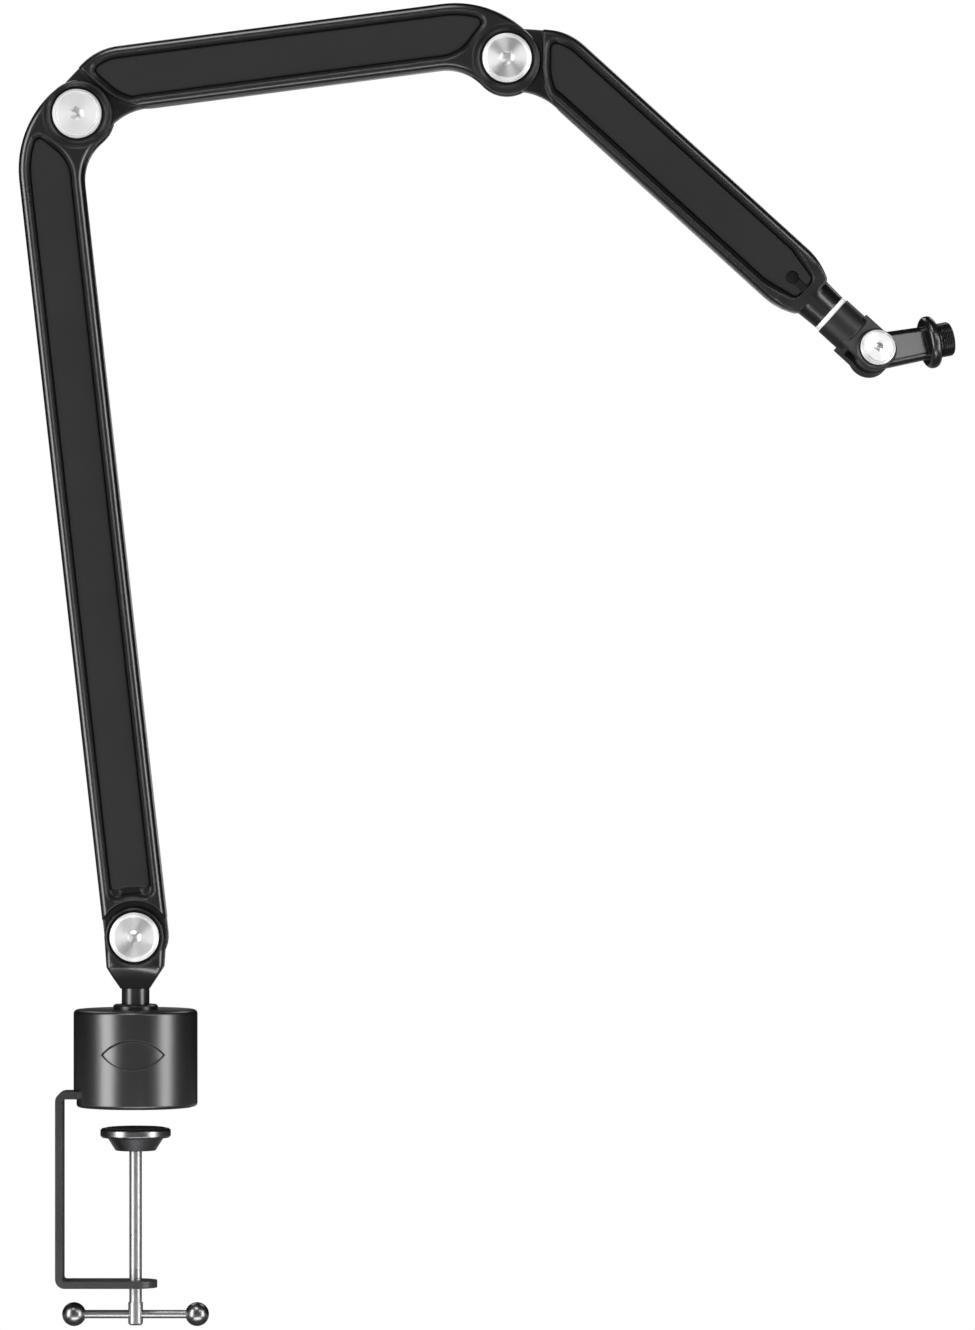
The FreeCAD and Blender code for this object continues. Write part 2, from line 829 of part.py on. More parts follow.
def along_x(shape, start):
    """Turn a shape made along Z to lie along X from a start."""
    moved = shape.copy()
    turn = FreeCAD.Rotation(V(0, 0, 1), V(1, 0, 0))
    moved.Placement = FreeCAD.Placement(V(start, 0, 0), turn).multiply(moved.Placement)
    return moved


# Wrist, made along X from the end of the neck
ring_back = wrist_ring_thickness + face_clearance
fork_inside = tang_thickness / 2 + face_clearance + tilt_washer_thickness
cylinder_end = ring_back + wrist_cylinder_length
wrist_core = turned([
    (0, ring_back), (wrist_radius, ring_back), (wrist_radius, cylinder_end - wrist_edge),
    (wrist_radius - wrist_edge, cylinder_end), (0, cylinder_end),
])
cheek = turned([
    (0, -tilt_cheek_back), (tilt_cheek_radius - wrist_edge, -tilt_cheek_back),
    (tilt_cheek_radius, wrist_edge - tilt_cheek_back),
    (tilt_cheek_radius, tilt_cheek_front - wrist_edge),
    (tilt_cheek_radius - wrist_edge, tilt_cheek_front), (0, tilt_cheek_front),
])
cheek = fronted(cheek, tilt_pivot)
root_half = wrist_radius - wrist_edge
cheek_root = block(
    cylinder_end - wrist_edge - overrun, tilt_pitch, wrist_edge - tilt_cheek_front, root_half,
    -root_half, root_half,
)
wrist_core = along_x(wrist_core, 0).fuse([cheek, cheek_root])
tang_room = block(
    tilt_pitch - tang_end_radius - tang_gap, tilt_pitch + tilt_cheek_radius + overrun,
    -fork_inside, fork_inside, -tilt_cheek_radius - overrun, tilt_cheek_radius + overrun,
)
tilt_past = tilt_cheek_back + overrun
tilt_bore = crosswise(tilt_bolt_radius + running_clearance, tilt_pivot, -tilt_past, tilt_past)
tilt_nut_seat = tilt_cheek_back - tilt_nut_pocket
tilt_pocket = hexagon(tilt_nut_flats + 2 * fixed_clearance, -tilt_past, -tilt_nut_seat)
bolt_end = ring_back + wrist_bolt_length_past_ring
bolt_hole = rod(wrist_bolt_radius + fixed_clearance, V(0, 0, 0), V(bolt_end, 0, 0))
keep(
    "wrist_body",
    wrist_core.cut([tang_room, tilt_bore, fronted(tilt_pocket, tilt_pivot), bolt_hole]),
    wrist_place,
)
ring_piece = ring(
    wrist_bolt_radius + running_clearance, neck_radius, 0, wrist_ring_thickness,
)
keep("wrist_ring", along_x(ring_piece, 0), wrist_place)
head_seat = upper_trough_end - upper_arm_pitch - wrist_bolt_washer_thickness
head_top = head_seat - wrist_bolt_head_height
wrist_bolt = turned([
    (0, head_top), (wrist_bolt_head_radius, head_top), (wrist_bolt_head_radius, head_seat),
    (wrist_bolt_radius, head_seat), (wrist_bolt_radius, bolt_end), (0, bolt_end),
])
wrist_socket = hexagon(
    wrist_bolt_head_radius * wrist_socket_share, head_top - overrun, head_seat - bolt_tip,
)
keep("wrist_bolt", along_x(wrist_bolt.cut(wrist_socket), 0), wrist_place)
bolt_washer = ring(
    wrist_bolt_radius + running_clearance, wrist_bolt_head_radius, head_seat,
    head_seat + wrist_bolt_washer_thickness - face_clearance,
)
keep("wrist_bolt_washer", along_x(bolt_washer, 0), wrist_place)

# Tilt joint hardware
tilt_seat = tilt_cheek_front + tilt_spring_height
tilt_bolt = capped_bolt(
    tilt_cap_radius, tilt_cap_height, cap_chamfer, tilt_cap_groove_radius, tilt_bolt_radius,
    tilt_seat, -tilt_nut_seat - tilt_nut_thickness, tilt_socket_flats, tilt_socket_depth,
)
keep("tilt_bolt", fronted(tilt_bolt, tilt_pivot), wrist_place)
tilt_spring = coned_washer(
    tilt_bolt_radius + running_clearance, tilt_spring_radius, tilt_spring_thickness,
    tilt_spring_height, tilt_cheek_front,
)
keep("tilt_spring_washer", fronted(tilt_spring, tilt_pivot), wrist_place)
disc_inside = fork_inside - tilt_washer_thickness
tilt_discs = Part.makeCompound([
    ring(tilt_bolt_radius + running_clearance, tilt_washer_radius, disc_inside, fork_inside),
    ring(tilt_bolt_radius + running_clearance, tilt_washer_radius, -fork_inside, -disc_inside),
])
keep("tilt_friction_washers", fronted(tilt_discs, tilt_pivot), wrist_place)
tilt_nut = nut(
    tilt_nut_flats, -tilt_nut_seat - tilt_nut_thickness, -tilt_nut_seat,
    tilt_bolt_radius + fixed_clearance, nut_chamfer,
)
keep("tilt_nut", fronted(tilt_nut, tilt_pivot), wrist_place)

# Microphone mount, made along X from the tilt pivot
half_tang = tang_thickness / 2
tang = crosswise(tang_end_radius, origin, -half_tang, half_tang)
tang_bar_end = tang_length + overrun
tang_points = [
    V(0, 0, -tang_root_height / 2), V(tang_bar_end, 0, -tang_height / 2),
    V(tang_bar_end, 0, tang_height / 2), V(0, 0, tang_root_height / 2),
]
tang_bar = plate(Part.makePolygon(tang_points + tang_points[:1]).Edges, -half_tang, half_tang)
tang_bar = rounded(
    tang_bar, tang_edge,
    lambda edge: abs(edge.Vertexes[0].X - edge.Vertexes[-1].X) > tang_length,
)
flange_end = tang_length + flange_thickness
flange = ring(0, flange_radius, tang_length, flange_end)
flange = rounded(flange, flange_round, lambda edge: is_rim(edge, flange_radius))
collar_end = flange_end + collar_length
collar = ring(0, collar_radius, flange_end - overrun, collar_end)
adapter_end = collar_end + adapter_length
stud = ring(0, stud_radius, flange_end, adapter_end - adapter_chamfer)
tang = tang.fuse([tang_bar] + [along_x(piece, 0) for piece in (flange, collar, stud)])
tang_past = half_tang + overrun
tang_bore = crosswise(tilt_bolt_radius + running_clearance, origin, -tang_past, tang_past)
keep("mic_tang", tang.cut(tang_bore), mount_place)
adapter = turned([
    (stud_radius + fixed_clearance, collar_end), (adapter_relief_radius, collar_end),
    (adapter_relief_radius, collar_end + adapter_relief_length - adapter_chamfer),
    (adapter_radius, collar_end + adapter_relief_length),
    (adapter_radius, adapter_end - adapter_chamfer), (adapter_radius - adapter_chamfer, adapter_end),
    (stud_radius + fixed_clearance, adapter_end),
])
keep("thread_adapter", along_x(adapter, 0), mount_place)

# Round base housing with its bearing boss and screw posts
bracket_low = desk_pad_thickness
bracket_high = bracket_low + strip_thickness
plate_top = bracket_high + plate_thickness
bore_radius = housing_radius - housing_wall
desk_pad_radius = housing_radius - desk_pad_margin
plate_radius = bore_radius - plate_gap
post_circle = bore_radius - post_inset
ceiling = housing_height - housing_top
shell = ring(0, housing_radius, housing_lift, housing_height)
for radius, height in ((housing_edge, housing_height), (housing_foot_edge, housing_lift)):
    shell = rounded(shell, radius, lambda edge: (
        is_rim(edge, housing_radius) and abs(edge.BoundBox.ZMax - height) < fixed_clearance))
room = turned([
    (0, housing_lift - overrun), (desk_pad_radius + fixed_clearance, housing_lift - overrun),
    (desk_pad_radius + fixed_clearance, desk_pad_thickness), (bore_radius, desk_pad_thickness),
    (bore_radius, ceiling), (0, ceiling),
])
bearing_boss = ring(0, bearing_boss_radius, bearing_boss_bottom, ceiling + overrun)
post_centres = [
    V(post_circle * math.cos(math.radians(a)), post_circle * math.sin(math.radians(a)), plate_top)
    for a in post_angles
]
posts = [rod(post_radius, spot, V(spot.x, spot.y, ceiling + overrun)) for spot in post_centres]
housing = shell.cut(room).fuse([bearing_boss] + posts)
hole_radius = plate_screw_radius + fixed_clearance
hole_end = V(0, 0, plate_screw_length)
screw_holes = [
    rod(hole_radius, V(spot.x, spot.y, bracket_high), spot + hole_end) for spot in post_centres
]
bush_bore = ring(
    0, bush_sleeve_radius + fixed_clearance, bearing_boss_bottom - overrun, housing_height + overrun,
)
strip_slot = block(
    -housing_radius - overrun, 0, -strip_width / 2 - cover_clearance, strip_width / 2 + cover_clearance,
    housing_lift - overrun, bracket_high + fixed_clearance,
)
badge_half = badge_width / 2
badge_sweep = (badge_half ** 2 + (badge_height / 2) ** 2) / badge_height
badge_turn = math.degrees(math.asin(badge_half / badge_sweep))
badge_drop = badge_sweep - badge_height / 2
badge = plate([
    arc(V(0, 0, badge_place - badge_drop), badge_sweep, 90 + badge_turn, 90 - badge_turn),
    arc(V(0, 0, badge_place + badge_drop), badge_sweep, badge_turn - 90, -badge_turn - 90),
], -housing_radius - overrun, 0)
badge = badge.cut(ring(0, housing_radius - badge_depth, 0, housing_height))
housing = housing.cut(screw_holes + [bush_bore, strip_slot, badge])
badge_mouth = [
    edge for edge in housing.Edges
    if badge.BoundBox.isInside(edge.BoundBox.Center) and edge.BoundBox.Center.z > badge_place
    and all(abs(math.hypot(v.X, v.Y) - housing_radius) < fixed_clearance for v in edge.Vertexes)
]
keep("base_housing", housing.makeChamfer(badge_slope, badge_mouth))

base_plate = ring(0, plate_radius, bracket_high, plate_top)
strip_screw_holes = [
    rod(bracket_screw_radius + fixed_clearance, V(x, 0, bracket_low), V(x, 0, plate_top + overrun))
    for x in bracket_screw_places
]
keep("base_plate", base_plate.cut(screw_holes + strip_screw_holes))
screw_low = bracket_high - plate_screw_head_height
screw_high = plate_top + plate_screw_length - bolt_tip
plate_screws = []
for spot in post_centres:
    screw = turned([
        (0, screw_low), (plate_screw_head_radius, screw_low), (plate_screw_head_radius, bracket_high),
        (plate_screw_radius, bracket_high), (plate_screw_radius, screw_high), (0, screw_high),
    ])
    screw.translate(V(spot.x, spot.y, 0))
    plate_screws.append(screw)
keep("base_plate_screws", Part.makeCompound(plate_screws))
keep("desk_pad", ring(0, desk_pad_radius, 0, desk_pad_thickness))

# Swivel spindle in its flanged bush
journal = spindle_journal_radius
keep("swivel_bush", turned([
    (journal + running_clearance, bearing_boss_bottom), (bush_sleeve_radius, bearing_boss_bottom),
    (bush_sleeve_radius, housing_height), (bush_flange_radius, housing_height),
    (bush_flange_radius, flange_top - bush_flange_edge),
    (bush_flange_radius - bush_flange_edge, flange_top), (journal + running_clearance, flange_top),
]))
thread_top = bearing_boss_bottom - spindle_washer_thickness - face_clearance
spindle_bottom = plate_top + spindle_gap
keep("swivel_spindle", turned([
    (0, spindle_bottom), (spindle_thread_radius - bolt_tip, spindle_bottom),
    (spindle_thread_radius, spindle_bottom + bolt_tip), (spindle_thread_radius, thread_top),
    (journal, thread_top), (journal, flange_top + face_clearance),
    (neck_spindle_radius, flange_top + face_clearance), (neck_spindle_radius, knuckle_bottom),
    (spindle_spigot_radius, knuckle_bottom), (spindle_spigot_radius, spigot_top), (0, spigot_top),
]))
keep("spindle_washer", ring(
    journal + fixed_clearance, spindle_washer_radius, thread_top, bearing_boss_bottom - face_clearance,
))
keep("spindle_lock_nut", nut(
    lock_nut_flats, thread_top - lock_nut_thickness, thread_top,
    spindle_thread_radius + fixed_clearance, nut_chamfer,
))

# Shoulder knuckle: a fork on a tapered foot
outline = [
    arc(shoulder, knuckle_cheek_radius, 0, 180),
    line(V(-knuckle_cheek_radius, 0, shoulder_height), V(-knuckle_waist_half, 0, knuckle_waist)),
    line(V(-knuckle_waist_half, 0, knuckle_waist), V(-knuckle_foot_half, 0, knuckle_bottom)),
    line(V(-knuckle_foot_half, 0, knuckle_bottom), V(knuckle_foot_half, 0, knuckle_bottom)),
    line(V(knuckle_foot_half, 0, knuckle_bottom), V(knuckle_waist_half, 0, knuckle_waist)),
    line(V(knuckle_waist_half, 0, knuckle_waist), V(knuckle_cheek_radius, 0, shoulder_height)),
]
knuckle = plate(outline, -half_thickness, half_thickness)
foot_top = knuckle_bottom + fixed_clearance
knuckle = rounded(
    knuckle, knuckle_edge,
    lambda edge: lies_at_depth(edge, half_thickness) and edge.BoundBox.ZMax > foot_top,
)
side_points = [
    V(0, -knuckle_foot_half, knuckle_bottom), V(0, knuckle_foot_half, knuckle_bottom),
    V(0, half_thickness, knuckle_waist), V(0, half_thickness, shoulder_height + beyond),
    V(0, -half_thickness, shoulder_height + beyond), V(0, -half_thickness, knuckle_waist),
]
side = Part.Face(Part.makePolygon(side_points + side_points[:1])).extrude(V(beyond * 2, 0, 0))
side.translate(V(-beyond, 0, 0))
knuckle = knuckle.common(side)
lying = knuckle.copy()
lying.Placement = upright.inverse().multiply(lying.Placement)
lying = fork(lying, origin)
spigot_hole = ring(
    0, spindle_spigot_radius + fixed_clearance, knuckle_bottom - overrun, spigot_top,
)
lying.Placement = upright.multiply(lying.Placement)
keep("shoulder_knuckle", lying.cut(spigot_hole))

# C-clamp bracket
strip_half = strip_width / 2
inner_left = bracket_left + strip_thickness
bend_x = bracket_left + strip_bend
bend_top = bracket_high - strip_bend
bend_bottom = bracket_bottom + strip_bend
inner_bend = strip_bend - strip_thickness
leg_top = bracket_bottom + strip_thickness
leg_end = bracket_end_radius
top_bend = V(bend_x, 0, bend_top)
bottom_bend = V(bend_x, 0, bend_bottom)
bracket = plate([
    line(V(bracket_inner_end, 0, bracket_high), V(bend_x, 0, bracket_high)),
    arc(top_bend, strip_bend, 90, 180),
    line(V(bracket_left, 0, bend_top), V(bracket_left, 0, bend_bottom)),
    arc(bottom_bend, strip_bend, 180, 270),
    line(V(bend_x, 0, bracket_bottom), V(leg_end, 0, bracket_bottom)),
    line(V(leg_end, 0, bracket_bottom), V(leg_end, 0, leg_top)),
    line(V(leg_end, 0, leg_top), V(bend_x, 0, leg_top)),
    arc(bottom_bend, inner_bend, 270, 180),
    line(V(inner_left, 0, bend_bottom), V(inner_left, 0, bend_top)),
    arc(top_bend, inner_bend, 180, 90),
    line(V(bend_x, 0, bracket_low), V(bracket_inner_end, 0, bracket_low)),
    line(V(bracket_inner_end, 0, bracket_low), V(bracket_inner_end, 0, bracket_high)),
], -strip_half, strip_half)
end_corners = block(0, leg_end + overrun, -strip_half, strip_half, bracket_bottom, leg_top)
end_corners = end_corners.cut(ring(0, bracket_end_radius, bracket_bottom, leg_top))
screw_bore = ring(0, screw_radius + running_clearance, bracket_bottom - overrun, leg_top + overrun)
strip_screws = []
countersinks = []
for x in bracket_screw_places:
    sink = bracket_screw_head_radius - bracket_screw_radius
    for clearance, pieces in ((0, strip_screws), (fixed_clearance, countersinks)):
        piece = turned([
            (0, bracket_low), (bracket_screw_head_radius + clearance, bracket_low),
            (bracket_screw_radius + clearance, bracket_low + sink),
            (bracket_screw_radius + clearance, plate_top), (0, plate_top),
        ])
        piece.translate(V(x, 0, 0))
        pieces.append(piece)
keep("clamp_bracket", bracket.cut([end_corners, screw_bore] + countersinks))
keep("bracket_screws", Part.makeCompound(strip_screws))

# Pressure pad on the screw's tip
rim_bottom = pad_top - pad_rim
cone_bottom = rim_bottom - pad_cone_height
facing_bottom = pad_top - pad_facing_thickness
cavity_bottom = facing_bottom - pad_cavity_depth
rim_top = pad_top - pad_facing_proud
disc = turned([
    (screw_tip_radius + running_clearance, cone_bottom), (pad_cone_bottom_radius, cone_bottom),
    (pad_cone_top_radius, rim_bottom), (pad_radius - pad_rim_edge, rim_bottom),
    (pad_radius, rim_bottom + pad_rim_edge), (pad_radius, rim_top - pad_rim_edge),
    (pad_radius - pad_rim_edge, rim_top), (pad_facing_radius + fixed_clearance, rim_top),
    (pad_facing_radius + fixed_clearance, facing_bottom), (pad_cavity_radius, facing_bottom),
    (pad_cavity_radius, cavity_bottom), (screw_tip_radius + running_clearance, cavity_bottom),
])
keep("pad_disc", disc)
keep("pad_facing", ring(0, pad_facing_radius, facing_bottom, pad_top))

# Clamp screw, its retaining clip and the sliding bar
clip_low = cavity_bottom + clip_play
clip_high = clip_low + clip_thickness
tip_top = facing_bottom - clip_play
screw_shoulder = cone_bottom - face_clearance
screw_head_top = screw_bottom + screw_head_length
screw = turned([
    (0, screw_bottom), (screw_head_radius - screw_tip_round, screw_bottom),
    (screw_head_radius, screw_bottom + screw_tip_round), (screw_head_radius, screw_head_top),
    (screw_radius, screw_head_top), (screw_radius, screw_shoulder), (screw_tip_radius, screw_shoulder),
    (screw_tip_radius, clip_low), (screw_groove_radius, clip_low), (screw_groove_radius, clip_high),
    (screw_tip_radius, clip_high), (screw_tip_radius, tip_top), (0, tip_top),
])
hole_reach = screw_head_radius + overrun
bar_hole = rod(
    bar_radius + running_clearance, V(-hole_reach, 0, bar_place), V(hole_reach, 0, bar_place),
)
keep("clamp_screw", screw.cut(bar_hole))
keep("pad_clip", ring(
    screw_groove_radius + fixed_clearance, clip_radius, clip_low + fixed_clearance,
    clip_high - fixed_clearance,
))
ball_reach = ball_span / 2
ball_face = math.sqrt(ball_radius ** 2 - ball_flat_radius ** 2)
keep("tommy_bar", rod(bar_radius, V(-ball_reach, 0, bar_place), V(ball_reach, 0, bar_place)))
balls = []
for side in (-1, 1):
    ball = Part.makeSphere(ball_radius, V(side * ball_reach, 0, bar_place))
    hole = rod(bar_radius + fixed_clearance, V(0, 0, bar_place), V(side * ball_reach, 0, bar_place))
    flat = rod(ball_radius, V(0, 0, bar_place), V(side * (ball_reach - ball_face), 0, bar_place))
    balls.append(ball.cut([hole, flat]))
keep("tommy_balls", Part.makeCompound(balls))

for name, spot in (("shoulder", shoulder), ("lower elbow", lower_elbow), ("upper elbow", upper_elbow)):
    print(name, spot)
print("wrist", wrist_place.Base, wrist_place.Rotation.multVec(V(1, 0, 0)))
print("tilt", mount_place.Base, wrist_place.Rotation.multVec(y_axis))
print("mount", mount_place.multVec(V(adapter_end, 0, 0)), mount_place.Rotation.multVec(V(1, 0, 0)))
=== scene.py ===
import json
import math

import bmesh
import bpy
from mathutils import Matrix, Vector


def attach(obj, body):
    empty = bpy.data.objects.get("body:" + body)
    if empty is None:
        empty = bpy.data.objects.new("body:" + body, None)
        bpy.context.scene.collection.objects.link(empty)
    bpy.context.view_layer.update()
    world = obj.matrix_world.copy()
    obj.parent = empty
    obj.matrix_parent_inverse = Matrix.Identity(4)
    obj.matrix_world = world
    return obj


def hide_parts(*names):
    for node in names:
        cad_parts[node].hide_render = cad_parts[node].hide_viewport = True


# Looks of a desk-clamped microphone boom arm: black coated arms with matte
# cable covers, bright turned pivot caps, a plated clamp screw and a white ring.

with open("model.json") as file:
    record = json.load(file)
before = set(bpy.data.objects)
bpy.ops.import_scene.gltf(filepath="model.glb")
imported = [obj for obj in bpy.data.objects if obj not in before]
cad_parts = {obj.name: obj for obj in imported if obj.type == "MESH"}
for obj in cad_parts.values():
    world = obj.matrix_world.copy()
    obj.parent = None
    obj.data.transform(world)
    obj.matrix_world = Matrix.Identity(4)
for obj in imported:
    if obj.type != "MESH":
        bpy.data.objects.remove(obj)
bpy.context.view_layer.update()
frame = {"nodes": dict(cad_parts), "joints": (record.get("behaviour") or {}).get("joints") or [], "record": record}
nodes = frame["nodes"]
slotOf = {piece["node"]: piece["material_slot"] for piece in frame["record"]["subparts"]}
scene = bpy.context.scene
mm = 0.001
print("frame loaded:", len(nodes), "nodes")


def srgb(text):
    parts = [int(text[k:k + 2], 16) / 255 for k in (1, 3, 5)]
    linear = [c / 12.92 if c <= 0.04045 else ((c + 0.055) / 1.055) ** 2.4 for c in parts]
    return (*linear, 1.0)


def addNode(tree, kind, inputs=None, **settings):
    # An input value that is a socket is linked, any other is set.
    node = tree.nodes.new(kind)
    for key, value in settings.items():
        setattr(node, key, value)
    for key, value in (inputs or {}).items():
        if isinstance(value, bpy.types.NodeSocket):
            tree.links.new(value, node.inputs[key])
        else:
            node.inputs[key].default_value = value
    return node


def emptyTree(owner):
    owner.use_nodes = True
    owner.node_tree.nodes.clear()
    return owner.node_tree


# One entry for each material slot, and one for a node with a finish of its own.
# Tones are the two ends of the slow colour drift, roughness the two ends of its
# gloss change, grain the size and height in mm of the fine relief, and edge the
# rounding in mm that catches light on machined edges.
looks = {
    # Satin powder coat on a die-cast arm: soft highlights over faint orange peel
    "arm_coat": dict(
        title="Aluminium, die cast, black satin powder coat", tones=("#090909", "#0c0c0c"),
        roughness=(0.27, 0.33), grain=(0.35, 0.002), edge=1.8, coat=0.6, coatRoughness=0.16,
    ),
    # The same coat blasted first on the wrist: one wide soft stripe, dark flats
    "wrist_body": dict(
        title="Aluminium, die cast, blasted, black powder coat", tones=("#090909", "#0c0c0c"),
        roughness=(0.44, 0.50), grain=(0.3, 0.004), edge=0.8, coat=0.2, coatRoughness=0.4,
    ),
    # Lacquer over a fine turned face: two broad clear bands and black sides
    "housing_coat": dict(
        title="Aluminium, turned shell, black satin lacquer", tones=("#0a0a0a", "#0d0d0d"),
        roughness=(0.31, 0.35), grain=(0.3, 0.001), edge=0.6, coat=1.0, coatRoughness=0.31,
    ),
    # Spark-eroded mould texture: even dark grey that hardly shines
    "cover_plastic": dict(
        title="ABS, injection moulded, spark-eroded texture", tones=("#0f0f10", "#121213"),
        roughness=(0.55, 0.65), grain=(0.22, 0.01), edge=0.3, specular=0.35,
    ),
    # Enamel baked on a bent strip: a little lighter and flatter than the arms
    "bracket_steel": dict(
        title="Steel strip, bent, baked satin enamel", tones=("#262627", "#2b2b2c"),
        roughness=(0.40, 0.48), grain=(0.5, 0.004), edge=0.6,
    ),
    # Faced on a lathe: fine rings fan each highlight out from the middle, and the
    # rim outside the groove is left satin, with a painted highlight making it white.
    # The rings are drawn coarser than the tool's real feed, so that they show.
    "turned_steel": dict(
        title="Steel, faced on a lathe, bright", tones=("#dcdcdd", "#e8e8e9"),
        roughness=(0.40, 0.44), grain=(0.4, 0.0005), edge=0.25, metallic=1.0,
        ringSpacing=1.1, ringHeight=0.012, rimRoughness=0.7, rimBlend=0.3,
    ),
    # Satin nickel on a ground rod: grey with two pale bands
    "bright_steel": dict(
        title="Steel rod, ground, satin nickel plate", tones=("#969697", "#9e9e9f"),
        roughness=(0.38, 0.42), grain=(0.8, 0.0002), metallic=1.0,
    ),
    # Zinc flakes under a clear passivation: grey with cloudy patches
    "zinc_steel": dict(
        title="Steel, zinc plated, clear passivated", tones=("#9fa3a6", "#b9bcbf"),
        roughness=(0.32, 0.46), grain=(1.2, 0.002), edge=0.2, metallic=1.0,
    ),
    # Hardened strip left oily: dark blue-grey, half gloss
    "spring_steel": dict(
        title="Spring steel, stamped, oiled", tones=("#66686c", "#74767a"),
        roughness=(0.28, 0.36), grain=(0.8, 0.001), edge=0.15, metallic=1.0,
    ),
    # Black oxide soaked with oil: nearly black, with a thin gloss on top
    "black_steel": dict(
        title="Steel, turned, black oxide", tones=("#161617", "#1c1c1e"),
        roughness=(0.28, 0.34), grain=(0.4, 0.001), edge=0.25, coat=0.4, coatRoughness=0.2,
    ),
    # Turned rod stock: smooth, slightly waxy black
    "black_acetal": dict(
        title="Acetal, turned from rod, black", tones=("#111112", "#161617"),
        roughness=(0.24, 0.32), grain=(0.4, 0.001), edge=0.5,
    ),
    # Moulded rubber: dull, with a fine tooth
    "soft_rubber": dict(
        title="Rubber, moulded, fine tooth", tones=("#141414", "#1b1b1b"),
        roughness=(0.78, 0.9), grain=(0.5, 0.02), edge=0.3,
    ),
    # Pressed fibre: dry brown-black with flecks
    "friction_fibre": dict(
        title="Friction fibre, pressed sheet", tones=("#3a332c", "#4a4138"),
        roughness=(0.7, 0.85), grain=(0.6, 0.01), edge=0.15,
    ),
    # Sintered bronze: warm metal with fine pores
    "bronze_bush": dict(
        title="Bronze, sintered, oil filled", tones=("#a87a45", "#bb8d55"),
        roughness=(0.36, 0.5), grain=(0.3, 0.004), edge=0.15, metallic=1.0,
    ),
    # Turned nylon: clean white with a waxy gloss
    "white_nylon": dict(
        title="Nylon, turned, natural white", tones=("#efefed", "#f4f4f2"),
        roughness=(0.42, 0.5), grain=(0.5, 0.001), edge=0.15,
    ),
    # Coat over a blasted casting: flat faces read as mid grey
    "mount_coat": dict(
        title="Zinc, die cast, blasted, black coat", tones=("#0b0b0c", "#0f0f10"),
        roughness=(0.26, 0.32), grain=(0.3, 0.002), edge=0.5, coat=0.6, coatRoughness=0.24,
    ),
    # Black chrome: dark metal with white reflections on the rim
    "pad_coat": dict(
        title="Steel, pressed, black chrome plate", tones=("#7c7c7e", "#848486"),
        roughness=(0.26, 0.32), grain=(1.5, 0.001), edge=0.8, metallic=1.0,
    ),
    # Black chrome polished on a ball: dark mirror with two white windows
    "black_knob": dict(
        title="Steel ball, polished, black chrome plate", tones=("#78787a", "#808082"),
        roughness=(0.28, 0.32), grain=(2.0, 0.0002), metallic=1.0,
    ),
}

# Shared by all finishes: the width in mm of a patch in the slow drift, the part of
# the drift's range that the gloss change spans, and the detail of the two noises
surfaceDrift = dict(size=25, low=0.3, high=0.7, detail=4.0, grainDetail=3.0, edgeSamples=6)


